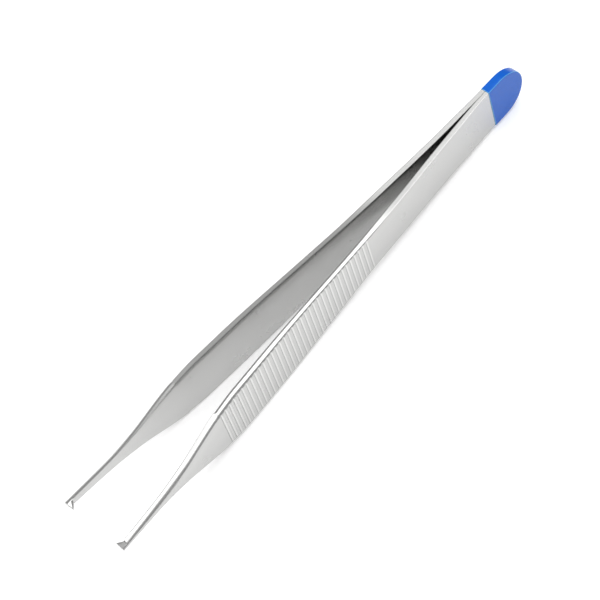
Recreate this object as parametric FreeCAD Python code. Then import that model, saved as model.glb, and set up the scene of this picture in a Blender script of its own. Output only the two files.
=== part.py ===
import FreeCAD, Part
import math
import os

# Thumb forceps with cross-cut grips and interlocking teeth, one against two.
# Two sprung steel arms lie face to face at the tail, where they are welded, and
# stand apart towards the tips. A thin coating covers the welded end.
# The part lies on its long edges, as it comes to rest on a table.
# Every size is in millimetres. Places along the arms run from the tail end.

# Lengths along the arms
OVERALL_LENGTH = 120.0
WELD_LENGTH = 9.5
BEAK_LENGTH = 29.0
SHOULDER_RUNOUT = 1.6

# Full width of a blade, from its lower to its upper long edge, and where it is
TAIL_WIDTH = 10.9
TAIL_PARALLEL_LENGTH = 9.5
TAPER_WIDTH = 10.2
TAPER_AT = 21.0
WAIST_WIDTH = 9.6
WAIST_AT = 38.0
GRIP_WIDTH = 12.7
GRIP_PARALLEL_LENGTH = 6.6
GRIP_PARALLEL_BEHIND_SHOULDER = 6.4
SHOULDER_WIDTH = 11.4
BEAK_MIDDLE_WIDTH = 4.8
BEAK_MIDDLE_FROM_TIP = 17.5
NECK_WIDTH = 2.6
NECK_FROM_TIP = 10.6
TIP_WIDTH = 1.5

# Clear gap between the two inner faces, and where it is
SPRING_GAP = 0.5
SPRING_GAP_AT = 18.2
WAIST_GAP = 3.05
WAIST_GAP_AT = 38.0
GRIP_GAP = 6.1
GRIP_GAP_BEHIND_SHOULDER = 30.4
SHOULDER_GAP = 9.9
BEAK_GAP = 12.05
BEAK_GAP_FROM_TIP = 12.0
TIP_GAP = 13.5

# Thickness of one blade, and where it is
TAIL_END_THICKNESS = 0.76
WELD_THICKNESS = 0.88
SPRING_THICKNESS = 1.1
SPRING_THICKNESS_AT = 20.0
GRIP_REAR_THICKNESS = 1.16
GRIP_FRONT_THICKNESS = 1.48
GRIP_FRONT_BEHIND_SHOULDER = 5.0
NECK_THICKNESS = 1.26
TIP_THICKNESS = 1.1

# Bevels along the long edges: how far each reaches down the blade's face, and how
# many times as far it reaches across the blade's thickness
FINE_BEVEL = 0.06
INNER_BEVEL = 0.2
INNER_BEVEL_AT = 28.0
INNER_BEVEL_RATIO = 1.8
TAIL_BEVEL = 0.12
GRIP_BEVEL = 0.5
OUTER_BEVEL_RATIO = 0.7

# Rounding that makes the beak's outer side half-round by its neck
BEAK_ROUNDING = 0.28
NECK_ROUNDING = 1.2
TIP_ROUNDING = 1.0
ROUNDING_FLATS = 4

# Grinding that leaves the long edges flat at the grip's widest stretch
GRINDING_DEPTH = 0.05

# Cross-cut grip
GROOVE_COUNT = 36
GROOVE_PITCH = 1.24
GROOVE_WIDTH = 0.46
GROOVE_DEPTH = 0.18
LAST_GROOVE_BEHIND_SHOULDER = 0.3

# Teeth at the tips
TOOTH_LENGTH = 1.35
TOOTH_HEIGHT = 1.1
TOOTH_POINT_SETBACK = 0.1
TOOTH_ROOT_WIDTH = 1.0
TOOTH_POINT_WIDTH = 0.08
TOOTH_CLEARANCE = 0.05

# Coating over the welded tail, which stops before the seam opens
COATING_SHORT_OF_WELD = 0.5
COATING_THICKNESS = 0.1
COATING_BEVEL = 0.12

# How finely the blades are lofted, and how far cutters stand clear of them
SECTION_SPACING = 1.0
CUTTER_MARGIN = 1.0

# Places that follow from the sizes above
STEEL_START = COATING_THICKNESS
COATING_LENGTH = WELD_LENGTH - COATING_SHORT_OF_WELD
SHOULDER_AT = OVERALL_LENGTH - BEAK_LENGTH
RUNOUT_END = SHOULDER_AT + SHOULDER_RUNOUT
PARALLEL_END = SHOULDER_AT - GRIP_PARALLEL_BEHIND_SHOULDER
PARALLEL_START = PARALLEL_END - GRIP_PARALLEL_LENGTH
GRIP_GAP_AT = SHOULDER_AT - GRIP_GAP_BEHIND_SHOULDER
NECK_AT = OVERALL_LENGTH - NECK_FROM_TIP
LAST_GROOVE_AT = SHOULDER_AT - LAST_GROOVE_BEHIND_SHOULDER
FIRST_GROOVE_AT = LAST_GROOVE_AT - (GROOVE_COUNT - 1) * GROOVE_PITCH
UNGROUND_GRIP_WIDTH = GRIP_WIDTH + 2 * GRINDING_DEPTH


def smooth_size(points):
    """A smooth curve through (place, size) points that never overshoots them."""
    places = [place for place, size in points]
    sizes = [size for place, size in points]
    spans = [b - a for a, b in zip(places, places[1:])]
    rises = [(b - a) / span for a, b, span in zip(sizes, sizes[1:], spans)]
    slopes = [rises[0]]
    for before, after in zip(rises, rises[1:]):
        turns = before * after <= 0
        slopes.append(0.0 if turns else 2 * before * after / (before + after))
    slopes.append(rises[-1])

    def size_at(place):
        place = min(max(place, places[0]), places[-1])
        i = max(k for k in range(len(spans)) if places[k] <= place)
        t = (place - places[i]) / spans[i]
        start = (2 * t**3 - 3 * t**2 + 1) * sizes[i]
        leaving = (t**3 - 2 * t**2 + t) * spans[i] * slopes[i]
        end = (3 * t**2 - 2 * t**3) * sizes[i + 1]
        arriving = (t**3 - t**2) * spans[i] * slopes[i + 1]
        return start + leaving + end + arriving

    return size_at


width_at = smooth_size(
    [
        (0.0, TAIL_WIDTH),
        (TAIL_PARALLEL_LENGTH, TAIL_WIDTH),
        (TAPER_AT, TAPER_WIDTH),
        (WAIST_AT, WAIST_WIDTH),
        (PARALLEL_START, UNGROUND_GRIP_WIDTH),
        (PARALLEL_END, UNGROUND_GRIP_WIDTH),
        (SHOULDER_AT, SHOULDER_WIDTH),
        (OVERALL_LENGTH - BEAK_MIDDLE_FROM_TIP, BEAK_MIDDLE_WIDTH),
        (NECK_AT, NECK_WIDTH),
        (OVERALL_LENGTH, TIP_WIDTH),
    ]
)

gap_at = smooth_size(
    [
        (0.0, 0.0),
        (WELD_LENGTH, 0.0),
        (SPRING_GAP_AT, SPRING_GAP),
        (WAIST_GAP_AT, WAIST_GAP),
        (GRIP_GAP_AT, GRIP_GAP),
        (SHOULDER_AT, SHOULDER_GAP),
        (OVERALL_LENGTH - BEAK_GAP_FROM_TIP, BEAK_GAP),
        (OVERALL_LENGTH, TIP_GAP),
    ]
)

thickness_at = smooth_size(
    [
        (0.0, TAIL_END_THICKNESS),
        (WELD_LENGTH, WELD_THICKNESS),
        (SPRING_THICKNESS_AT, SPRING_THICKNESS),
        (GRIP_GAP_AT, GRIP_REAR_THICKNESS),
        (SHOULDER_AT - GRIP_FRONT_BEHIND_SHOULDER, GRIP_FRONT_THICKNESS),
        (NECK_AT, NECK_THICKNESS),
        (OVERALL_LENGTH, TIP_THICKNESS),
    ]
)

inner_bevel_at = smooth_size(
    [
        (0.0, FINE_BEVEL),
        (WELD_LENGTH, FINE_BEVEL),
        (INNER_BEVEL_AT, INNER_BEVEL),
        (SHOULDER_AT, INNER_BEVEL),
    ]
)

outer_bevel_at = smooth_size(
    [(0.0, TAIL_BEVEL), (WAIST_AT, TAIL_BEVEL), (SHOULDER_AT, GRIP_BEVEL)]
)

rounding_at = smooth_size(
    [
        (RUNOUT_END, BEAK_ROUNDING),
        (NECK_AT, NECK_ROUNDING),
        (OVERALL_LENGTH, TIP_ROUNDING),
    ]
)


def closed_wire(corners):
    """A closed outline of straight edges through the corners."""
    return Part.makePolygon(corners + [corners[0]])


def mirrored_section(place, upper):
    """A section at a place from its upper corners (y, z) and their mirror image."""
    lower = [(y, -z) for y, z in reversed(upper)]
    return closed_wire([FreeCAD.Vector(place, y, z) for y, z in upper + lower])


def places_between(start, end, spacing):
    """Evenly spaced places from start to end, about a spacing apart."""
    count = max(2, math.ceil((end - start) / spacing))
    return [start + (end - start) * i / count for i in range(count + 1)]


def bevelled_section(place, inner_bevel, outer_bevel):
    """The blade's section at a place, with bevels on its four long edges."""
    half = width_at(place) / 2
    inner = gap_at(place) / 2
    outer = inner + thickness_at(place)
    return mirrored_section(
        place,
        [
            (inner, half - inner_bevel),
            (inner + inner_bevel * INNER_BEVEL_RATIO, half),
            (outer - outer_bevel * OUTER_BEVEL_RATIO, half),
            (outer, half - outer_bevel),
        ],
    )


def rounded_section(place, rounding):
    """The beak's section at a place: sharp inner edges and rounded outer ones."""
    half = width_at(place) / 2
    inner = gap_at(place) / 2
    outer = inner + thickness_at(place)
    across = min(rounding, thickness_at(place) - FINE_BEVEL)
    down = min(rounding, half - FINE_BEVEL)
    angles = [math.pi / 2 * i / ROUNDING_FLATS for i in range(ROUNDING_FLATS + 1)]
    upper = [(inner, half)] + [
        (
            outer - across * (1 - math.sin(angle)),
            half - down * (1 - math.cos(angle)),
        )
        for angle in angles
    ]
    return mirrored_section(place, upper)


def rear_loft(start, end):
    """The bevelled blade from one place to another."""
    return Part.makeLoft(
        [
            bevelled_section(place, inner_bevel_at(place), outer_bevel_at(place))
            for place in places_between(start, end, SECTION_SPACING)
        ],
        True,
    )


def shoulder_loft():
    """The short run-out where the grip's bevels fade into the beak."""
    sections = [
        bevelled_section(SHOULDER_AT, FINE_BEVEL, GRIP_BEVEL),
        bevelled_section(RUNOUT_END, FINE_BEVEL, BEAK_ROUNDING),
    ]
    return Part.makeLoft(sections, True, True)


def beak_loft():
    """The slender beak, from the shoulder's run-out to the tip."""
    return Part.makeLoft(
        [
            rounded_section(place, rounding_at(place))
            for place in places_between(RUNOUT_END, OVERALL_LENGTH, SECTION_SPACING)
        ],
        True,
    )


def rounded_tail_prism(grow):
    """A prism across both arms whose outline is the round tail, grown a little."""
    radius = TAIL_WIDTH / 2 + grow
    centre_at = STEEL_START + TAIL_WIDTH / 2
    reach = TIP_GAP
    across = FreeCAD.Vector(0, 1, 0)
    round_end = Part.makeCylinder(
        radius, 2 * reach, FreeCAD.Vector(centre_at, -reach, 0), across
    )
    height = GRIP_WIDTH + 2 * CUTTER_MARGIN
    rest = Part.makeBox(
        OVERALL_LENGTH + CUTTER_MARGIN - centre_at,
        2 * reach,
        height,
        FreeCAD.Vector(centre_at, -reach, -height / 2),
    )
    return round_end.fuse(rest)


def grinding_slab():
    """The space between the two planes that the grip's long edges are ground to."""
    reach = TIP_GAP
    return Part.makeBox(
        OVERALL_LENGTH + 2 * CUTTER_MARGIN,
        2 * reach,
        GRIP_WIDTH,
        FreeCAD.Vector(-CUTTER_MARGIN, -reach, -GRIP_WIDTH / 2),
    )


def groove_cutters():
    """One V-shaped bar across the blade for each groove of the grip."""
    flare = 1 + CUTTER_MARGIN / GROOVE_DEPTH
    height = GRIP_WIDTH + 2 * CUTTER_MARGIN
    cutters = []
    for i in range(GROOVE_COUNT):
        place = FIRST_GROOVE_AT + i * GROOVE_PITCH
        root = gap_at(place) / 2 + thickness_at(place) - GROOVE_DEPTH
        mouth = root + GROOVE_DEPTH * flare
        half_mouth = GROOVE_WIDTH / 2 * flare
        profile = closed_wire(
            [
                FreeCAD.Vector(place, root, -height / 2),
                FreeCAD.Vector(place + half_mouth, mouth, -height / 2),
                FreeCAD.Vector(place - half_mouth, mouth, -height / 2),
            ]
        )
        cutters.append(Part.Face(profile).extrude(FreeCAD.Vector(0, 0, height)))
    return cutters


def welded_tail():
    """The blade's tail on the +Y side, up to where the seam between the arms opens."""
    return rear_loft(STEEL_START, WELD_LENGTH).common(rounded_tail_prism(0.0))


def blade():
    """The blade on the +Y side, with its grip cut but without teeth."""
    body = welded_tail().fuse(
        [rear_loft(WELD_LENGTH, SHOULDER_AT), shoulder_loft(), beak_loft()]
    )
    return body.common(grinding_slab()).cut(groove_cutters())


def on_far_side(shape):
    """The shape's mirror image across the seam, on the -Y side."""
    return shape.mirror(FreeCAD.Vector(0, 0, 0), FreeCAD.Vector(0, 1, 0))


def tooth_ramp(height):
    """A bar across the tip that rises to a ridge just behind the end face."""
    inner = TIP_GAP / 2
    root = inner + TIP_THICKNESS / 2
    rear_at = OVERALL_LENGTH - TOOTH_LENGTH
    side_view = [
        (rear_at, root),
        (rear_at, inner),
        (OVERALL_LENGTH - TOOTH_POINT_SETBACK, inner - height),
        (OVERALL_LENGTH, inner),
        (OVERALL_LENGTH, root),
    ]
    corners = [FreeCAD.Vector(x, y, -TIP_WIDTH / 2) for x, y in side_view]
    return Part.Face(closed_wire(corners)).extrude(FreeCAD.Vector(0, 0, TIP_WIDTH))


def bar_along_tip(upper):
    """A bar along the tip whose end view is the upper corners and their mirror image."""
    start = OVERALL_LENGTH - TOOTH_LENGTH - CUTTER_MARGIN
    length = TOOTH_LENGTH + 2 * CUTTER_MARGIN
    return Part.Face(mirrored_section(start, upper)).extrude(
        FreeCAD.Vector(length, 0, 0)
    )


def single_tooth():
    """One pointed tooth in the middle of the tip."""
    inner = TIP_GAP / 2
    height = TOOTH_HEIGHT - TOOTH_CLEARANCE
    gable = bar_along_tip(
        [
            (inner + TIP_THICKNESS, TOOTH_ROOT_WIDTH / 2),
            (inner, TOOTH_ROOT_WIDTH / 2),
            (inner - height, TOOTH_POINT_WIDTH / 2),
        ]
    )
    return tooth_ramp(height).common(gable)


def double_teeth():
    """Two teeth flush with the tip's sides, with a notch that takes the single one."""
    inner = TIP_GAP / 2
    root_half = TOOTH_POINT_WIDTH / 2 + TOOTH_CLEARANCE
    mouth_half = TOOTH_ROOT_WIDTH / 2 + TOOTH_CLEARANCE
    notch = bar_along_tip(
        [
            (inner, root_half),
            (inner - TOOTH_HEIGHT, mouth_half),
            (inner - TOOTH_HEIGHT - CUTTER_MARGIN, mouth_half),
        ]
    )
    return tooth_ramp(TOOTH_HEIGHT).cut(notch)


def coating_section(place):
    """The coated tail's section at a place, across both arms."""
    half = width_at(place) / 2 + COATING_THICKNESS
    outer = thickness_at(place) + COATING_THICKNESS
    return mirrored_section(
        place,
        [
            (-outer, half - COATING_BEVEL),
            (-outer + COATING_BEVEL, half),
            (outer - COATING_BEVEL, half),
            (outer, half - COATING_BEVEL),
        ],
    )


def tail_coating():
    """The thin coat over the welded tail, which follows both arms."""
    places = places_between(0.0, COATING_LENGTH, SECTION_SPACING)
    coated_tail = Part.makeLoft([coating_section(place) for place in places], True)
    coated_tail = coated_tail.common(rounded_tail_prism(COATING_THICKNESS))
    steel = welded_tail()
    return coated_tail.cut([steel, on_far_side(steel)])


def write_part(name, shape):
    """Write one piece with the frame's origin at the bottom centre."""
    placed = shape.copy()
    placed.translate(FreeCAD.Vector(-OVERALL_LENGTH / 2, 0, GRIP_WIDTH / 2))
    placed.exportStep("parts/" + name + ".step")


os.makedirs("parts", exist_ok=True)

plain_arm = blade()

write_part("arm_single_tooth", plain_arm.fuse(single_tooth()))
write_part("arm_double_tooth", on_far_side(plain_arm.fuse(double_teeth())))
write_part("tail_coating", tail_coating())
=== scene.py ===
"""The look of a pair of toothed thumb forceps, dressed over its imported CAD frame.

Two satin stainless arms lie face to face at a blue coated tail and spring apart
towards interlocking teeth. Sizes are in millimetres and places along an arm run
from the tail end, until a mesh is written, which is in metres in the row frame.
"""

from __future__ import annotations

import logging
import math
from bisect import bisect_right
from dataclasses import dataclass
from enum import Enum
from typing import Any, Iterable, Sequence

import bmesh
import bpy
from mathutils import Matrix, Vector

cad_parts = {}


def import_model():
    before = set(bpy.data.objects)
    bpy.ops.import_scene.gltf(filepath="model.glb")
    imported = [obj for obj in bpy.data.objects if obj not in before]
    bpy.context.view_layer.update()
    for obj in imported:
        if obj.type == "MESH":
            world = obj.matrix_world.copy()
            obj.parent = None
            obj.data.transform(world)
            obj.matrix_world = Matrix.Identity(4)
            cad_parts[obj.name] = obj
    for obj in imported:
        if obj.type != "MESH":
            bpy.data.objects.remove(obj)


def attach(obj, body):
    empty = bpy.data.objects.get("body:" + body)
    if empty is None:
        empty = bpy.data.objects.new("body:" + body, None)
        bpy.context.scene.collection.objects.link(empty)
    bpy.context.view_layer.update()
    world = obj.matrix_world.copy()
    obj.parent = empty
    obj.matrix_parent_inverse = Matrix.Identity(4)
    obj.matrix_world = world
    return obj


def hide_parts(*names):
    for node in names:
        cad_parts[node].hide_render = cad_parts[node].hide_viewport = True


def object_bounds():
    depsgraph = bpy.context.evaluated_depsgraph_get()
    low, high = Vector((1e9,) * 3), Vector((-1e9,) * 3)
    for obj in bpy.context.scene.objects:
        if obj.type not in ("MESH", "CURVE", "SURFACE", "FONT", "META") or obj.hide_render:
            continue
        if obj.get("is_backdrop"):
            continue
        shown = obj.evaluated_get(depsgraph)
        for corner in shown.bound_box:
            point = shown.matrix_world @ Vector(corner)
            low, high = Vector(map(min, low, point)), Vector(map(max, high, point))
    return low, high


LOG = logging.getLogger("forceps")
MM = 0.001

Point = tuple[float, float, float]


def linear_colour(hex_code: str) -> tuple[float, float, float, float]:
    """Turn an sRGB hex value into a linear colour.

    Args:
        hex_code: six hex digits, such as "D4D5D6".

    Returns:
        Red, green, blue and an alpha of one, all linear.
    """
    parts = [int(hex_code[i : i + 2], 16) / 255 for i in (0, 2, 4)]
    red, green, blue = (
        part / 12.92 if part <= 0.04045 else ((part + 0.055) / 1.055) ** 2.4
        for part in parts
    )
    return red, green, blue, 1.0


def add_node(
    tree: bpy.types.NodeTree,
    kind: str,
    settings: dict[str, Any] | None = None,
    values: dict[str | int, Any] | None = None,
    links: dict[str | int, bpy.types.NodeSocket] | None = None,
) -> bpy.types.Node:
    """Add one node to a tree with its settings, socket values and links.

    Args:
        tree: the node tree that gets the node.
        kind: the node's type name.
        settings: properties of the node itself.
        values: input sockets, by name or number, and the constant each holds.
        links: input sockets, by name or number, and the socket that feeds each.

    Returns:
        The new node.
    """
    node = tree.nodes.new(kind)
    for name, value in (settings or {}).items():
        setattr(node, name, value)
    for key, value in (values or {}).items():
        node.inputs[key].default_value = value
    for key, source in (links or {}).items():
        tree.links.new(source, node.inputs[key])
    return node


@dataclass(frozen=True)
class SmoothCurve:
    """A smooth curve through (place, size) knots that never overshoots them."""

    knots: tuple[tuple[float, float], ...]

    def slopes(self) -> list[float]:
        """Slope at each knot, level where the sizes turn."""
        rises = [(b[1] - a[1]) / (b[0] - a[0]) for a, b in zip(self.knots, self.knots[1:])]
        middle = [
            0.0 if before * after <= 0 else 2 * before * after / (before + after)
            for before, after in zip(rises, rises[1:])
        ]
        return [rises[0], *middle, rises[-1]]

    def at(self, place: float) -> float:
        """Size at a place.

        Args:
            place: where along the arm, held within the first and last knots.

        Returns:
            The size there.
        """
        places = [knot[0] for knot in self.knots]
        place = min(max(place, places[0]), places[-1])
        i = min(bisect_right(places, place), len(places) - 1) - 1
        (start, a), (end, b) = self.knots[i], self.knots[i + 1]
        slopes = self.slopes()
        span = end - start
        t = (place - start) / span
        return (
            (2 * t**3 - 3 * t**2 + 1) * a
            + (t**3 - 2 * t**2 + t) * span * slopes[i]
            + (3 * t**2 - 2 * t**3) * b
            + (t**3 - t**2) * span * slopes[i + 1]
        )


@dataclass(frozen=True)
class RowFrame:
    """Where the instrument lies in the row frame, read from the CAD frame's box."""

    tail_x: float
    seam_y: float
    middle_z: float
    length: float
    grip_width: float

    @classmethod
    def from_bounds(cls, low: Vector, high: Vector) -> "RowFrame":
        """Read the places and sizes, in millimetres, from the CAD frame's box.

        Args:
            low: the box's lowest corner, in metres.
            high: its highest corner.

        Returns:
            The frame's places and sizes.
        """
        return cls(
            tail_x=low.x / MM,
            seam_y=(low.y + high.y) / 2 / MM,
            middle_z=(low.z + high.z) / 2 / MM,
            length=(high.x - low.x) / MM,
            grip_width=(high.z - low.z) / MM,
        )

    def place(self, point: Point) -> Vector:
        """Turn a point (place, across, height) on the instrument into row metres."""
        along, across, height = point
        return Vector(
            (
                (self.tail_x + along) * MM,
                (self.seam_y + across) * MM,
                (self.middle_z + height) * MM,
            )
        )


class ArmSide(Enum):
    """The side of the seam that an arm springs towards."""

    SINGLE_TOOTH = 1
    DOUBLE_TOOTH = -1


@dataclass(frozen=True)
class SatinStainless:
    """Martensitic stainless steel, ground, glass-bead blasted and lightly brushed.

    The blasting leaves an even satin with no mirror image, and the brushing draws
    it out a little along the blade, so that bright surroundings show as soft bands.
    """

    name: str = "satin_stainless_steel"
    # Painted highlight and painted shade for the groove walls and teeth; the steel's own colour is
    # halfway between these two.
    bright_colour: str = "DCDCDB"
    shade_colour: str = "B2B2B1"
    roughness: float = 0.25
    roughness_swing: float = 0.07
    bead_size: float = 0.12
    mottle_size: float = 6.0
    brush_width: float = 0.10
    brush_length: float = 4.0
    bump_height: float = 0.001

    def material(self) -> bpy.types.Material:
        """Build the node material."""
        material = bpy.data.materials.new(self.name)
        material.use_nodes = True
        tree = material.node_tree
        shader = tree.nodes["Principled BSDF"]
        shader.inputs["Metallic"].default_value = 1.0

        place = add_node(tree, "ShaderNodeTexCoord").outputs["Object"]
        # Blasted pits are about as wide as the beads' marks, in metres on the piece.
        pits = add_node(
            tree,
            "ShaderNodeTexNoise",
            values={"Scale": 1 / (self.bead_size * MM), "Detail": 2.0},
            links={"Vector": place},
        )
        # Brush marks run with the blade: the pattern is squeezed along its length.
        along = add_node(
            tree,
            "ShaderNodeMapping",
            values={"Scale": (self.brush_width / self.brush_length, 1.0, 1.0)},
            links={"Vector": place},
        )
        brush = add_node(
            tree,
            "ShaderNodeTexNoise",
            values={"Scale": 1 / (self.brush_width * MM), "Detail": 3.0},
            links={"Vector": along.outputs["Vector"]},
        )
        # Broad patches where the blasting took a little more, or a little less.
        mottle = add_node(
            tree,
            "ShaderNodeTexNoise",
            values={"Scale": 1 / (self.mottle_size * MM), "Detail": 4.0},
            links={"Vector": place},
        )
        mixed = add_node(
            tree,
            "ShaderNodeMath",
            {"operation": "ADD"},
            links={0: pits.outputs["Fac"], 1: brush.outputs["Fac"]},
        )
        bump = add_node(
            tree,
            "ShaderNodeBump",
            values={"Strength": 1.0, "Distance": self.bump_height * MM},
            links={"Height": mixed.outputs[0]},
        )
        satin = add_node(
            tree,
            "ShaderNodeMapRange",
            values={
                "From Min": 0.3,
                "From Max": 0.7,
                "To Min": self.roughness - self.roughness_swing / 2,
                "To Max": self.roughness + self.roughness_swing / 2,
            },
            links={"Value": mottle.outputs["Fac"]},
        )
        # Painted highlight and painted shade: a groove's wall towards the tail is painted lighter
        # and its other wall darker, so each groove reads as a light and a dark line; unmarked steel
        # takes the colour halfway between.
        groove = add_node(tree, "ShaderNodeAttribute", {"attribute_name": "groove"})
        share = add_node(
            tree,
            "ShaderNodeMapRange",
            values={"From Min": -1.0, "From Max": 1.0},
            links={"Value": groove.outputs["Fac"]},
        )
        tint = add_node(
            tree,
            "ShaderNodeMix",
            {"data_type": "RGBA"},
            values={
                6: linear_colour(self.shade_colour),
                7: linear_colour(self.bright_colour),
            },
            links={0: share.outputs[0]},
        )
        tree.links.new(tint.outputs[2], shader.inputs["Base Color"])
        tree.links.new(satin.outputs[0], shader.inputs["Roughness"])
        tree.links.new(bump.outputs["Normal"], shader.inputs["Normal"])
        return material


@dataclass(frozen=True)
class BlueCoat:
    """Autoclave-proof epoxy enamel, dipped and baked over the welded tail.

    It levels before it cures, so it is glossy, a little rounded at its edges, with
    a faint orange peel.
    """

    name: str = "blue_epoxy_enamel"
    colour: str = "005ECC"
    deep_colour: str = "0058C0"
    # Painted highlight: the paler colour laid along the coat's edges and rim.
    highlight_colour: str = "5FA6D6"
    specular_tint: str = "9FCBFF"
    roughness: float = 0.16
    ior: float = 1.55
    peel_size: float = 0.9
    peel_height: float = 0.004

    def material(self) -> bpy.types.Material:
        """Build the node material."""
        material = bpy.data.materials.new(self.name)
        material.use_nodes = True
        tree = material.node_tree
        shader = tree.nodes["Principled BSDF"]
        shader.inputs["Roughness"].default_value = self.roughness
        shader.inputs["IOR"].default_value = self.ior
        shader.inputs["Specular Tint"].default_value = linear_colour(self.specular_tint)
        place = add_node(tree, "ShaderNodeTexCoord").outputs["Object"]
        # Orange peel: the enamel's surface swells gently as it cures.
        peel = add_node(
            tree,
            "ShaderNodeTexNoise",
            values={"Scale": 1 / (self.peel_size * MM), "Detail": 1.0},
            links={"Vector": place},
        )
        depth = add_node(
            tree,
            "ShaderNodeMix",
            {"data_type": "RGBA"},
            values={6: linear_colour(self.deep_colour), 7: linear_colour(self.colour)},
            links={0: peel.outputs["Fac"]},
        )
        bump = add_node(
            tree,
            "ShaderNodeBump",
            values={"Distance": self.peel_height * MM},
            links={"Height": peel.outputs["Fac"]},
        )
        # Painted highlight: a paler line is painted along the coat's rounded edges and its rim.
        edge_highlight = add_node(tree, "ShaderNodeAttribute", {"attribute_name": "painted_edge_highlight"})
        highlighted = add_node(
            tree,
            "ShaderNodeMix",
            {"data_type": "RGBA"},
            values={7: linear_colour(self.highlight_colour)},
            links={0: edge_highlight.outputs["Fac"], 6: depth.outputs[2]},
        )
        tree.links.new(highlighted.outputs[2], shader.inputs["Base Color"])
        tree.links.new(bump.outputs["Normal"], shader.inputs["Normal"])
        return material


@dataclass(frozen=True)
class BladeForm:
    """The sizes that both arms share, as curves and lengths in millimetres."""

    start: float = 0.1
    coat_length: float = 9.0
    tail_radius: float = 5.45
    shoulder: float = 91.0
    runout_end: float = 92.6
    tip_gap: float = 13.5
    tip_thickness: float = 1.1
    end_rounding: float = 0.12
    least_flat: float = 0.06
    outer_bevel_ratio: float = 0.8
    single_inner_ratio: float = 1.8
    double_inner_ratio: float = 0.7
    inner_roundness: float = 0.3
    width: SmoothCurve = SmoothCurve(
        (
            (0.0, 10.9),
            (9.5, 10.9),
            (21.0, 10.2),
            (38.0, 9.6),
            (78.0, 12.8),
            (84.6, 12.8),
            (91.0, 11.4),
            (102.5, 4.8),
            (109.4, 2.6),
            (120.0, 1.5),
        )
    )
    gap: SmoothCurve = SmoothCurve(
        (
            (0.0, 0.0),
            (9.5, 0.0),
            (18.2, 0.5),
            (38.0, 3.05),
            (60.6, 6.1),
            (91.0, 9.9),
            (108.0, 12.05),
            (120.0, 13.5),
        )
    )
    thickness: SmoothCurve = SmoothCurve(
        (
            (0.0, 0.76),
            (9.5, 0.88),
            (20.0, 1.1),
            (60.6, 1.16),
            (86.0, 1.48),
            (109.4, 1.26),
            (120.0, 1.1),
        )
    )
    inner_bevel: SmoothCurve = SmoothCurve(
        (
            (0.0, 0.03),
            (38.0, 0.05),
            (50.0, 0.18),
            (75.0, 0.22),
            (90.9, 0.27),
            (91.3, 0.01),
            (96.0, 0.01),
            (103.0, 0.08),
            (116.0, 0.08),
            (118.0, 0.04),
            (120.0, 0.04),
        )
    )
    outer_bevel: SmoothCurve = SmoothCurve(
        (
            (0.0, 0.05),
            (38.0, 0.08),
            (50.0, 0.34),
            (75.0, 0.5),
            (86.0, 0.7),
            (90.9, 0.75),
            (91.3, 0.92),
            (98.0, 0.95),
            (109.4, 1.2),
            (120.0, 1.0),
        )
    )
    roundness: SmoothCurve = SmoothCurve(
        ((0.0, 0.7), (38.0, 0.5), (60.0, 0.5), (90.9, 0.5), (91.5, 0.9), (120.0, 0.9))
    )
    edge_slope: SmoothCurve = SmoothCurve(
        (
            (0.0, 0.0),
            (36.0, 0.0),
            (50.0, 0.13),
            (90.9, 0.15),
            (91.5, 0.04),
            (98.0, 0.05),
            (106.0, 0.14),
            (120.0, 0.14),
        )
    )

    def inner_ratio(self, side: ArmSide) -> float:
        """How far an arm's inner bevels reach across it, for each 1 down its face."""
        if side is ArmSide.SINGLE_TOOTH:
            return self.single_inner_ratio
        return self.double_inner_ratio


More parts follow.
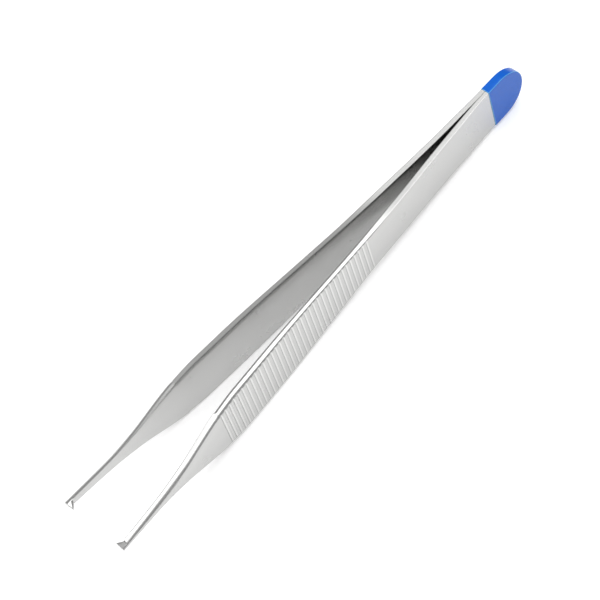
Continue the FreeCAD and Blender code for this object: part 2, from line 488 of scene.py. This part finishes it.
@dataclass(frozen=True)
class CrossCutGrip:
    """Parallel V grooves milled across the outside of a grip, in millimetres."""

    first: float = 47.3
    count: int = 36
    pitch: float = 1.24
    width: float = 0.56
    depth: float = 0.16
    lip: float = 0.03

    def ring_places(self) -> list[float]:
        """Places that a blade's mesh needs a section at to hold the grooves."""
        offsets = (
            -self.width / 2 - self.lip,
            -self.width / 2 + self.lip,
            -self.lip,
            self.lip,
            self.width / 2 - self.lip,
            self.width / 2 + self.lip,
            self.pitch / 2,
        )
        return [
            self.first + i * self.pitch + offset
            for i in range(self.count)
            for offset in offsets
        ]

    def tree(self, name: str) -> bpy.types.NodeTree:
        """Build the node tree that sinks the grooves into a blade's outer face and marks their
        walls for painted highlight and painted shade.

        Args:
            name: the tree's name.

        Returns:
            A tree whose inputs are the groove sizes in metres, the direction of
            the outer face and the finish.
        """
        tree = bpy.data.node_groups.new(name, "GeometryNodeTree")
        sockets = tree.interface
        sockets.new_socket("Blade", in_out="INPUT", socket_type="NodeSocketGeometry")
        for size in ("First Groove", "Pitch", "Count", "Width", "Depth", "Outward"):
            sockets.new_socket(size, in_out="INPUT", socket_type="NodeSocketFloat")
        sockets.new_socket("Finish", in_out="INPUT", socket_type="NodeSocketMaterial")
        sockets.new_socket("Grip", in_out="OUTPUT", socket_type="NodeSocketGeometry")
        given = add_node(tree, "NodeGroupInput").outputs

        def maths(operation: str, *terms: float | bpy.types.NodeSocket) -> bpy.types.NodeSocket:
            """One maths node on numbers or sockets."""
            numbers = {i: t for i, t in enumerate(terms) if isinstance(t, (int, float))}
            feeds = {i: t for i, t in enumerate(terms) if i not in numbers}
            node = add_node(tree, "ShaderNodeMath", {"operation": operation}, numbers, feeds)
            return node.outputs[0]

        position = add_node(tree, "GeometryNodeInputPosition").outputs[0]
        along = add_node(tree, "ShaderNodeSeparateXYZ", links={0: position}).outputs["X"]
        from_first = maths("SUBTRACT", along, given["First Groove"])
        nearest = maths("ROUND", maths("DIVIDE", from_first, given["Pitch"]))
        last = maths("SUBTRACT", given["Count"], 1.0)
        number = maths("MINIMUM", maths("MAXIMUM", nearest, 0.0), last)
        root = maths("MULTIPLY", number, given["Pitch"])
        past_root = maths("SUBTRACT", from_first, root)
        from_root = maths("ABSOLUTE", past_root)
        half_width = maths("MULTIPLY", given["Width"], 0.5)
        wall = maths("SUBTRACT", 1.0, maths("DIVIDE", from_root, half_width))
        sunk = maths("MULTIPLY", maths("MAXIMUM", wall, 0.0), given["Depth"])
        below_face = add_node(
            tree,
            "GeometryNodeInputNamedAttribute",
            {"data_type": "FLOAT"},
            {"Name": "below_face"},
        ).outputs["Attribute"]
        push = maths("MAXIMUM", maths("SUBTRACT", sunk, below_face), 0.0)
        inward = maths("MULTIPLY", push, maths("MULTIPLY", given["Outward"], -1.0))
        offset = add_node(tree, "ShaderNodeCombineXYZ", links={"Y": inward}).outputs[0]
        # Walls are marked 1 on the tail's side of a groove and -1 on the tip's side, for the
        # steel's painted highlight and painted shade.
        tail_side = maths("MULTIPLY", maths("SIGN", past_root), -1.0)
        wall_mark = maths("MULTIPLY", maths("GREATER_THAN", push, 0.0), tail_side)
        earlier = add_node(
            tree,
            "GeometryNodeInputNamedAttribute",
            {"data_type": "FLOAT"},
            {"Name": "groove"},
        ).outputs["Attribute"]
        marked = add_node(
            tree,
            "GeometryNodeStoreNamedAttribute",
            {"data_type": "FLOAT", "domain": "POINT"},
            {"Name": "groove"},
            {"Geometry": given["Blade"], "Value": maths("ADD", earlier, wall_mark)},
        )
        cut = add_node(
            tree,
            "GeometryNodeSetPosition",
            links={"Geometry": marked.outputs[0], "Offset": offset},
        )
        real = add_node(
            tree, "GeometryNodeRealizeInstances", links={"Geometry": cut.outputs[0]}
        )
        dressed = add_node(
            tree,
            "GeometryNodeSetMaterial",
            links={"Geometry": real.outputs[0], "Material": given["Finish"]},
        )
        add_node(tree, "NodeGroupOutput", links={"Grip": dressed.outputs[0]})
        return tree

    def inputs(self, frame: RowFrame, side: ArmSide) -> dict[str, float]:
        """The tree's inputs for one arm, in metres in the row frame."""
        return {
            "First Groove": (frame.tail_x + self.first) * MM,
            "Pitch": self.pitch * MM,
            "Count": float(self.count),
            "Width": self.width * MM,
            "Depth": self.depth * MM,
            "Outward": float(side.value),
        }


@dataclass(frozen=True)
class TipTeeth:
    """One pointed tooth, or two that take it between them, in millimetres."""

    length: float = 1.35
    height: float = 1.1
    setback: float = 0.1
    single_crest: float = 0.2
    double_crest: float = 0.52
    single_slope: float = 0.13
    double_slope: float = 0.2
    clearance: float = 0.05
    edge_break: float = 0.025
    runout: float = 0.15
    rear_bevel: tuple[float, float] = (0.45, 0.25)

    def crest(self, side: ArmSide) -> float:
        """Height above the middle of a tooth's outer flank where it meets the point."""
        return self.single_crest if side is ArmSide.SINGLE_TOOTH else self.double_crest

    def flank(self, side: ArmSide, inwards: float) -> float:
        """Height of the plane that the tip's top and its tooth are ground to.

        Args:
            side: which arm the teeth are on.
            inwards: how far inside the blade's inner face the place lies.

        Returns:
            The plane's height above the middle.
        """
        slope = self.single_slope if side is ArmSide.SINGLE_TOOTH else self.double_slope
        return self.crest(side) + slope * (self.height - inwards)

    def hulls(self, side: ArmSide, form: BladeForm, tip: float) -> list[list[Point]]:
        """Corners of each tooth, on the +Y side of the seam.

        Args:
            side: which arm the teeth are on.
            form: the blade's sizes.
            tip: the place of the blade's end face.

        Returns:
            One list of corners for each tooth.
        """
        face = form.tip_gap / 2
        sunk = face + self.edge_break * 2
        rear, end = tip - self.length, tip - form.end_rounding / 2
        ridge = tip - self.setback
        crest = self.crest(side)
        flank = self.flank(side, 0.0)
        if side is ArmSide.SINGLE_TOOTH:
            top = face - self.height + self.clearance
            spans = [((-flank, flank), (-crest, crest))]
        else:
            top = face - self.height
            root = self.single_crest + self.clearance
            inner = self.flank(ArmSide.SINGLE_TOOTH, 0.0) + self.clearance
            spans = [((root, flank), (inner, crest)), ((-flank, -root), (-crest, -inner))]
        along, drop = self.rear_bevel if side is ArmSide.DOUBLE_TOOTH else (0.0, 0.0)
        teeth = []
        for base, point in spans:
            corners = [(end, base[0]), (end, base[1]), (rear, base[0]), (rear, base[1])]
            if drop:
                # The outer flank's rear corner is cut back along the arm and down.
                outer = max(base, key=abs)
                corners.remove((rear, outer))
                corners += [(rear + along, outer), (rear, outer - math.copysign(drop, outer))]
            roots = [(x, y, z) for y in (face, sunk) for x, z in corners]
            teeth.append(roots + [(ridge, top, z) for z in point])
        return teeth


class SpringArm:
    """One sprung blade with its cross-cut grip and its tooth or teeth."""

    INNER_FLAT_STEPS = 5
    OUTER_FLAT_STEPS = 6
    INNER_CORNER_STEPS = 5
    OUTER_CORNER_STEPS = 6
    SIDE_SHARES = (0.1, 0.9)
    TAIL_STEPS = 24
    TAIL_FIRST_ANGLE = 3.0
    PLAIN_SPACING = 0.8
    BEAK_SPACING = 0.5
    LEAST_SPACING = 0.004
    SHARP_ANGLE = math.radians(32)
    PAINTED_SHADE_FACING = 0.3

    def __init__(
        self,
        node: str,
        side: ArmSide,
        frame: RowFrame,
        form: BladeForm,
        grip: CrossCutGrip,
        fine_lines: CrossCutGrip,
        teeth: TipTeeth,
    ) -> None:
        """Keep the sizes of one arm.

        Args:
            node: the CAD node that the arm stands for.
            side: which side of the seam it springs towards.
            frame: where the instrument lies.
            form: the blade's sizes.
            grip: the main grooves.
            fine_lines: the fine lines between the last grooves.
            teeth: the teeth's sizes.
        """
        self.node = node
        self.side = side
        self.frame = frame
        self.form = form
        self.grip = grip
        self.fine_lines = fine_lines
        self.teeth = teeth

    def ring_places(self) -> list[float]:
        """Places along the arm that get a section, from tail to tip."""
        form, grip = self.form, self.grip
        length = self.frame.length
        angles = spaced(self.TAIL_FIRST_ANGLE, 90.0, (90 - self.TAIL_FIRST_ANGLE) / self.TAIL_STEPS)
        tail = [form.start + form.tail_radius * (1 - math.cos(math.radians(a))) for a in angles]
        grooves = grip.ring_places()
        lines = self.fine_lines.ring_places()
        shank = spaced(tail[-1], grooves[0], self.PLAIN_SPACING)[1:-1]
        shoulder = [form.shoulder - 0.1, form.shoulder + 0.1]
        runout = spaced(form.shoulder + 0.1, form.runout_end, self.BEAK_SPACING)
        rounding_start = length - form.end_rounding
        beak = spaced(form.runout_end, rounding_start, self.BEAK_SPACING)
        end = [
            rounding_start + form.end_rounding * math.sin(math.radians(a))
            for a in (30, 60, 90)
        ]
        root = length - self.teeth.length
        flank = [root, root + self.teeth.runout]
        places = sorted(
            tail + shank + grooves + lines + shoulder + runout + beak + flank + end
        )
        kept = [places[0]]
        for place in places[1:]:
            if place - kept[-1] > self.LEAST_SPACING:
                kept.append(place)
        return kept

    def section(self, place: float) -> list[tuple[float, float, float]]:
        """The blade's section at a place, on the +Y side of the seam.

        Args:
            place: where along the arm.

        Returns:
            A closed ring of (across, height, depth below the outer face).
        """
        form = self.form
        half = min(form.width.at(place), self.frame.grip_width) / 2
        from_end = place - form.start
        if from_end < form.tail_radius:
            half = min(half, math.sqrt(from_end * (2 * form.tail_radius - from_end)))
        inner = form.gap.at(place) / 2
        outer = inner + form.thickness.at(place)
        over_end = place - (self.frame.length - form.end_rounding)
        if over_end > 0:
            left = max(form.end_rounding**2 - over_end**2, 0.0)
            inset = form.end_rounding - math.sqrt(left)
            half, inner, outer = half - inset, inner + inset, outer - inset
        ratio = form.inner_ratio(self.side)
        reach = min(form.inner_bevel.at(place), half / 3)
        inner_corner = [
            (inner + d, half - e)
            for e, d in corner(
                reach,
                reach * ratio,
                form.inner_roundness,
                self.INNER_CORNER_STEPS,
            )
        ]
        reach = form.outer_bevel.at(place)
        taken = form.inner_bevel.at(place) * ratio
        across = reach * (1.0 if place > form.shoulder else form.outer_bevel_ratio)
        across = min(across, outer - inner - taken - form.least_flat)
        down = min(reach, max(half - form.least_flat, half / 2))
        outer_corner = [
            (outer - d, half - e)
            for d, e in corner(across, down, form.roundness.at(place), self.OUTER_CORNER_STEPS)
        ]
        side = [
            blend(inner_corner[-1], outer_corner[0], share) for share in self.SIDE_SHARES
        ]
        inner_flat = [
            (inner, inner_corner[0][1] * i / self.INNER_FLAT_STEPS)
            for i in range(self.INNER_FLAT_STEPS)
        ]
        outer_flat = [
            (outer, outer_corner[-1][1] * (1 - i / self.OUTER_FLAT_STEPS))
            for i in range(1, self.OUTER_FLAT_STEPS + 1)
        ]
        slope = form.edge_slope.at(place)
        face = form.gap.at(place) / 2
        ground = self.tooth_share(place)
        upper = []
        for across, height in inner_flat + inner_corner + side + outer_corner + outer_flat:
            height *= 1 - slope * (across - inner) / half
            spare = height - self.teeth.flank(self.side, face - across)
            upper.append((across, height - ground * max(spare, 0.0), outer - across))
        lower = [(across, -height, below) for across, height, below in reversed(upper[1:-1])]
        return upper + lower

    def tooth_share(self, place: float) -> float:
        """How far a place is into the tip's toothed stretch, from 0 to 1."""
        past_root = place - (self.frame.length - self.teeth.length)
        return min(max(past_root / self.teeth.runout, 0.0), 1.0)

    def blank(self) -> bpy.types.Mesh:
        """Skin the sections into a closed blade that keeps each point's depth."""
        places = self.ring_places()
        rings = [self.section(place) for place in places]
        points: list[Point] = []
        depths: list[float] = []
        for place, ring in zip(places, rings):
            for across, height, below in ring:
                points.append((place, across * self.side.value, height))
                depths.append(below * MM)
        count = len(rings[0])
        faces: list[tuple[int, ...]] = []
        for r in range(len(rings) - 1):
            for i in range(count):
                j = (i + 1) % count
                a, b = r * count + i, r * count + j
                faces.append((a, b, b + count, a + count))
        for r, ring in ((0, rings[0]), (len(rings) - 1, rings[-1])):
            middle = sum(across for across, _, _ in ring) / count * self.side.value
            points.append((places[r], middle, 0.0))
            depths.append(self.form.tip_thickness * MM)
            hub = len(points) - 1
            faces.extend((r * count + i, r * count + (i + 1) % count, hub) for i in range(count))
        mesh = new_mesh(self.node, [self.frame.place(p) for p in points], faces)
        attribute = mesh.attributes.new("below_face", "FLOAT", "POINT")
        attribute.data.foreach_set("value", depths)
        return mesh

    def add_teeth(self, mesh: bpy.types.Mesh) -> None:
        """Add the tip's teeth to the blade's mesh."""
        shape = bmesh.new()
        shape.from_mesh(mesh)
        for corners in self.teeth.hulls(self.side, self.form, self.frame.length):
            tooth = bmesh.new()
            for along, across, height in corners:
                tooth.verts.new(self.frame.place((along, across * self.side.value, height)))
            bmesh.ops.convex_hull(tooth, input=tooth.verts)
            bmesh.ops.dissolve_limit(
                tooth, angle_limit=math.radians(1), verts=tooth.verts, edges=tooth.edges
            )
            bmesh.ops.bevel(
                tooth,
                geom=tooth.edges,
                offset=self.teeth.edge_break * MM,
                segments=2,
                profile=0.5,
                affect="EDGES",
            )
            bmesh.ops.recalc_face_normals(tooth, faces=tooth.faces)
            spare = bpy.data.meshes.new("tooth")
            tooth.to_mesh(spare)
            tooth.free()
            shape.from_mesh(spare)
            bpy.data.meshes.remove(spare)
        shape.to_mesh(mesh)
        shape.free()

    def paint_teeth_shade(self, mesh: bpy.types.Mesh) -> None:
        """Paint shade on the teeth's rear slopes and the notch between them, with the steel's
        painted shade colour.
        """
        marks = mesh.attributes["groove"].data
        root = self.frame.tail_x + self.frame.length - self.teeth.length
        for polygon in mesh.polygons:
            past_root = polygon.center.x / MM > root
            inside = abs(polygon.center.y / MM - self.frame.seam_y) < self.form.tip_gap / 2
            above = polygon.center.z / MM - self.frame.middle_z
            rear = polygon.normal.x < -self.PAINTED_SHADE_FACING
            notch = polygon.normal.z * above < -self.PAINTED_SHADE_FACING * abs(above)
            # Painted shade: rear slopes and the notch take the steel's shade colour.
            if past_root and inside and (rear or notch):
                for vertex in polygon.vertices:
                    marks[vertex].value = -1.0

    def build(
        self, trees: Sequence[bpy.types.NodeTree], finish: bpy.types.Material
    ) -> bpy.types.Object:
        """Build the arm, cut its grip and dress it.

        Args:
            trees: the node trees for the main grooves and for the fine lines.
            finish: the steel's material.

        Returns:
            The finished object, riding on the root body.
        """
        arm = new_object(self.node + "_arm", self.blank())
        for grip, tree in zip((self.grip, self.fine_lines), trees):
            modifier = arm.modifiers.new(tree.name, "NODES")
            modifier.node_group = tree
            values = {**grip.inputs(self.frame, self.side), "Finish": finish}
            for item in tree.interface.items_tree:
                if item.in_out == "INPUT" and item.name in values:
                    modifier[item.identifier] = values[item.name]
        bake_modifiers(arm)
        self.add_teeth(arm.data)
        self.paint_teeth_shade(arm.data)
        arm.data.materials.clear()
        arm.data.materials.append(finish)
        shade(arm.data, self.SHARP_ANGLE)
        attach(arm, "root")
        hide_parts(self.node)
        LOG.info("%s: %d faces", arm.name, len(arm.data.polygons))
        return arm


@dataclass(frozen=True)
class TailCoat:
    """The blue coat dipped over the welded tail, in millimetres."""

    node: str
    frame: RowFrame
    form: BladeForm
    thickness: float = 0.1
    edge_radius: float = 0.16
    rim_width: float = 0.2
    round_steps: int = 40
    straight_steps: int = 6
    edge_steps: int = 6
    face_steps: int = 8
    face_easing: float = 1.3
    highlight_bend: tuple[float, float] = (0.3, 0.7)

    def outline(self) -> list[tuple[float, float, float, float]]:
        """Half of the tail's outline, as points (x, z) with their outward normals."""
        radius = self.form.tail_radius + self.thickness
        centre = radius
        points = []
        for i in range(self.round_steps + 1):
            angle = math.pi / 2 * i / self.round_steps
            normal = (-math.cos(angle), math.sin(angle))
            points.append(
                (centre + radius * normal[0], radius * normal[1], normal[0], normal[1])
            )
        rim = self.form.coat_length
        for place in [*spaced(centre, rim - self.rim_width, 0.6)[1:], rim]:
            points.append((place, radius, 0.0, 1.0))
        return points

    def column(self, x: float, z: float, nx: float, nz: float) -> list[Point]:
        """Points from the seam plane round the edge and across the face.

        Args:
            x: place of the outline point along the arm.
            z: its height above the middle.
            nx: the outline's outward normal along the arm.
            nz: its outward normal upwards.

        Returns:
            Points (place, across, height) in order, the last on the middle line.
        """
        radius = self.form.tail_radius + self.thickness
        steps: list[tuple[float, float]] = [(0.0, 1.0), (0.0, 0.5)]
        for i in range(self.edge_steps + 1):
            angle = math.pi / 2 * i / self.edge_steps
            inset = self.edge_radius * (1 - math.cos(angle))
            steps.append((inset, -self.edge_radius * (1 - math.sin(angle))))
        for i in range(1, self.face_steps + 1):
            share = (i / self.face_steps) ** self.face_easing
            steps.append((self.edge_radius + (radius - self.edge_radius) * share, 0.0))
        points: list[Point] = []
        for number, (inset, drop) in enumerate(steps):
            place = x - nx * inset
            face = self.form.thickness.at(place) + self.thickness
            if number == 0:
                across = 0.0
            elif number == 1:
                across = (face - self.edge_radius) / 2
            else:
                across = face + drop
            points.append((place, across, z - nz * inset))
        return points

    def build(self, finish: bpy.types.Material) -> bpy.types.Object:
        """Build the coat as a thin open cup and dress it.

        Args:
            finish: the coat's material.

        Returns:
            The finished object, riding on the root body.
        """
        columns = [self.column(*point) for point in self.outline()]
        shape = bmesh.new()
        edge_highlight = shape.verts.layers.float.new("painted_edge_highlight")
        for across_sign in (1, -1):
            for height_sign in (1, -1):
                grid = [
                    [
                        shape.verts.new(
                            self.frame.place((x, across_sign * y, height_sign * z))
                        )
                        for x, y, z in column
                    ]
                    for column in columns
                ]
                # Painted highlight: the rim and the middle of each rounded edge are marked for the
                # paler colour.
                for number, column in enumerate(grid):
                    rim = number == len(grid) - 1
                    for k, vertex in enumerate(column):
                        bend = (k - 2) / self.edge_steps
                        highlighted = self.highlight_bend[0] < bend < self.highlight_bend[1]
                        vertex[edge_highlight] = 1.0 if rim or highlighted else 0.0
                for left, right in zip(grid, grid[1:]):
                    for k in range(len(left) - 1):
                        shape.faces.new((left[k], right[k], right[k + 1], left[k + 1]))
        bmesh.ops.remove_doubles(shape, verts=shape.verts, dist=0.002 * MM)
        bmesh.ops.recalc_face_normals(shape, faces=shape.faces)
        mesh = bpy.data.meshes.new(self.node)
        shape.to_mesh(mesh)
        shape.free()
        coat = new_object(self.node + "_coat", mesh)
        wall = coat.modifiers.new("coat wall", "SOLIDIFY")
        wall.thickness = self.thickness * MM
        wall.offset = -1.0
        bake_modifiers(coat)
        coat.data.materials.append(finish)
        shade(coat.data, math.radians(40))
        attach(coat, "root")
        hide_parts(self.node)
        LOG.info("%s: %d faces", coat.name, len(coat.data.polygons))
        return coat


@dataclass(frozen=True)
class Studio:
    """A white table under one overhead softbox, seen at the photograph's angle."""

    floor_size: float = 4.0
    softbox_length: float = 1.0
    softbox_width: float = 0.77
    softbox_shift: float = 0.095
    softbox_height: float = 0.62
    softbox_power: float = 3.4
    floor_lift: float = 0.24
    mirrored_lift: float = 0.13
    walls: float = 0.41
    walls_top: float = 0.55
    ceiling: float = 0.9
    ceiling_edge: float = 0.87
    camera_azimuth: float = 60.635
    camera_elevation: float = 57.919
    camera_roll: float = -21.22
    camera_distance: float = 0.48722
    camera_aim: Point = (0.00251, -0.00110, 0.00641)
    focal_length: float = 156.464
    sensor_width: float = 36.0

    def build(self) -> None:
        """Build the floor, the lights, the surroundings and the camera."""
        self.build_floor()
        self.build_softbox()
        self.build_world()
        self.build_camera()
        bpy.context.scene.view_settings.view_transform = "Standard"

    def build_floor(self) -> None:
        """A matt white table that keeps a soft shadow and shows white in the steel."""
        half = self.floor_size / 2
        corners = [(-half, -half, 0), (half, -half, 0), (half, half, 0), (-half, half, 0)]
        floor = new_object("floor", new_mesh("floor", map(Vector, corners), [(0, 1, 2, 3)]))
        material = bpy.data.materials.new("white_table")
        material.use_nodes = True
        tree = material.node_tree
        tree.nodes.clear()
        matt = add_node(
            tree, "ShaderNodeBsdfDiffuse", values={"Color": linear_colour("F4F4F4")}
        )
        lift = add_node(
            tree, "ShaderNodeEmission", values={"Color": linear_colour("FFFFFF")}
        )
        tree.links.new(self.seen_ray(tree), lift.inputs["Strength"])
        both = add_node(
            tree,
            "ShaderNodeAddShader",
            links={0: matt.outputs[0], 1: lift.outputs[0]},
        )
        add_node(tree, "ShaderNodeOutputMaterial", links={"Surface": both.outputs[0]})
        floor.data.materials.append(material)
        floor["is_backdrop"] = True

    def seen_ray(self, tree: bpy.types.NodeTree) -> bpy.types.NodeSocket:
        """The floor's lift for rays that show it, straight or in a reflection."""
        ray = add_node(tree, "ShaderNodeLightPath").outputs
        mirrored = add_node(
            tree,
            "ShaderNodeMath",
            {"operation": "MAXIMUM"},
            links={0: ray["Is Glossy Ray"], 1: ray["Is Transmission Ray"]},
        )
        faint = add_node(
            tree,
            "ShaderNodeMath",
            {"operation": "MULTIPLY"},
            values={1: self.mirrored_lift},
            links={0: mirrored.outputs[0]},
        )
        seen = add_node(
            tree,
            "ShaderNodeMath",
            {"operation": "MULTIPLY_ADD"},
            values={1: self.floor_lift},
            links={0: ray["Is Camera Ray"], 2: faint.outputs[0]},
        )
        return seen.outputs[0]

    def build_softbox(self) -> None:
        """One large soft lamp straight overhead."""
        lamp = bpy.data.lights.new("softbox", "AREA")
        lamp.shape = "RECTANGLE"
        lamp.size = self.softbox_length
        lamp.size_y = self.softbox_width
        lamp.energy = self.softbox_power
        holder = bpy.data.objects.new("softbox", lamp)
        holder.location = (0.0, self.softbox_shift, self.softbox_height)
        holder.visible_camera = False
        bpy.context.scene.collection.objects.link(holder)

    def build_world(self) -> None:
        """A studio that is dim at the walls and brighter overhead, white to the lens."""
        world = bpy.data.worlds.new("studio")
        world.use_nodes = True
        tree = world.node_tree
        tree.nodes.clear()
        towards = add_node(tree, "ShaderNodeTexCoord").outputs["Generated"]
        height = add_node(tree, "ShaderNodeSeparateXYZ", links={0: towards}).outputs["Z"]
        walls = add_node(
            tree,
            "ShaderNodeMapRange",
            values={
                "From Min": self.walls_top,
                "From Max": self.ceiling_edge,
                "To Min": self.walls,
                "To Max": self.ceiling,
            },
            links={"Value": height},
        )
        room = add_node(
            tree, "ShaderNodeBackground", links={"Strength": walls.outputs[0]}
        )
        plain = add_node(tree, "ShaderNodeBackground", values={"Strength": 1.0})
        for background in (room, plain):
            background.inputs["Color"].default_value = linear_colour("FFFFFF")
        camera_ray = add_node(tree, "ShaderNodeLightPath").outputs["Is Camera Ray"]
        shown = add_node(
            tree,
            "ShaderNodeMixShader",
            links={0: camera_ray, 1: room.outputs[0], 2: plain.outputs[0]},
        )
        add_node(tree, "ShaderNodeOutputWorld", links={"Surface": shown.outputs[0]})
        bpy.context.scene.world = world

    def build_camera(self) -> None:
        """A long lens above the near arm, turned as the photograph is."""
        azimuth, elevation, roll = (
            math.radians(a)
            for a in (self.camera_azimuth, self.camera_elevation, self.camera_roll)
        )
        back = Vector(
            (
                math.cos(elevation) * math.cos(azimuth),
                math.cos(elevation) * math.sin(azimuth),
                math.sin(elevation),
            )
        )
        level_right = (-back).cross(Vector((0, 0, 1))).normalized()
        level_up = level_right.cross(-back)
        right = level_right * math.cos(roll) + level_up * math.sin(roll)
        turn = Matrix((right, back.cross(right), back)).transposed()
        lens = bpy.data.cameras.new("photo_camera")
        lens.sensor_width = self.sensor_width
        lens.lens = self.focal_length
        lens.clip_start = 0.01
        camera = bpy.data.objects.new("photo_camera", lens)
        camera.matrix_world = (
            Matrix.Translation(Vector(self.camera_aim) + back * self.camera_distance)
            @ turn.to_4x4()
        )
        bpy.context.scene.collection.objects.link(camera)
        bpy.context.scene.camera = camera


def spaced(start: float, end: float, spacing: float) -> list[float]:
    """Evenly spaced places from start to end, no more than a spacing apart."""
    count = max(1, math.ceil((end - start) / spacing))
    return [start + (end - start) * i / count for i in range(count + 1)]


def blend(a: tuple[float, float], b: tuple[float, float], share: float) -> tuple[float, float]:
    """The point a share of the way from a to b."""
    return a[0] + (b[0] - a[0]) * share, a[1] + (b[1] - a[1]) * share


def corner(
    first: float, second: float, roundness: float, steps: int
) -> list[tuple[float, float]]:
    """Points across a broken edge, as distances from the two faces that meet there.

    Args:
        first: how far from the first face the break starts.
        second: how far from the second face it ends.
        roundness: 0 for a flat bevel, 1 for a quarter of an ellipse.
        steps: how many facets the break has.

    Returns:
        Pairs (from the first face, from the second), from (first, 0) to (0, second).
    """
    points = []
    for i in range(steps + 1):
        share = i / steps
        angle = math.pi / 2 * share
        flat = (first * (1 - share), second * share)
        arc = (first * (1 - math.sin(angle)), second * (1 - math.cos(angle)))
        points.append(blend(flat, arc, roundness))
    return points


def new_mesh(
    name: str, points: Iterable[Vector], faces: Sequence[tuple[int, ...]]
) -> bpy.types.Mesh:
    """A mesh from points and faces, with its faces turned outwards."""
    mesh = bpy.data.meshes.new(name)
    mesh.from_pydata([tuple(point) for point in points], [], faces)
    shape = bmesh.new()
    shape.from_mesh(mesh)
    bmesh.ops.recalc_face_normals(shape, faces=shape.faces)
    shape.to_mesh(mesh)
    shape.free()
    return mesh


def new_object(name: str, mesh: bpy.types.Mesh) -> bpy.types.Object:
    """An object at the origin that shows the mesh."""
    made = bpy.data.objects.new(name, mesh)
    bpy.context.scene.collection.objects.link(made)
    return made


def bake_modifiers(made: bpy.types.Object) -> None:
    """Turn the object's modifiers into plain mesh and remove them."""
    graph = bpy.context.evaluated_depsgraph_get()
    mesh = bpy.data.meshes.new_from_object(made.evaluated_get(graph))
    made.modifiers.clear()
    made.data = mesh


def shade(mesh: bpy.types.Mesh, sharp_angle: float) -> None:
    """Shade the mesh smooth, with creases where it turns by more than the angle."""
    mesh.shade_smooth()
    mesh.set_sharp_from_angle(angle=sharp_angle)


def main() -> None:
    """Load the frame, build each piece over it and set up the studio."""
    logging.basicConfig(level=logging.INFO, format="%(name)s: %(message)s")
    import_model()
    low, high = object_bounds()
    frame = RowFrame.from_bounds(low, high)
    form = BladeForm()
    grip = CrossCutGrip()
    fine_lines = CrossCutGrip(
        first=85.12, count=5, pitch=grip.pitch, width=0.16, depth=0.03, lip=0.02
    )
    trees = [grip.tree("cross_cut_grip"), fine_lines.tree("fine_cross_lines")]
    steel = SatinStainless().material()
    for node, side in (
        ("arm_single_tooth", ArmSide.SINGLE_TOOTH),
        ("arm_double_tooth", ArmSide.DOUBLE_TOOTH),
    ):
        SpringArm(node, side, frame, form, grip, fine_lines, TipTeeth()).build(trees, steel)
    TailCoat("tail_coating", frame, form).build(BlueCoat().material())
    Studio().build()


if __name__ == "__main__":
    main()
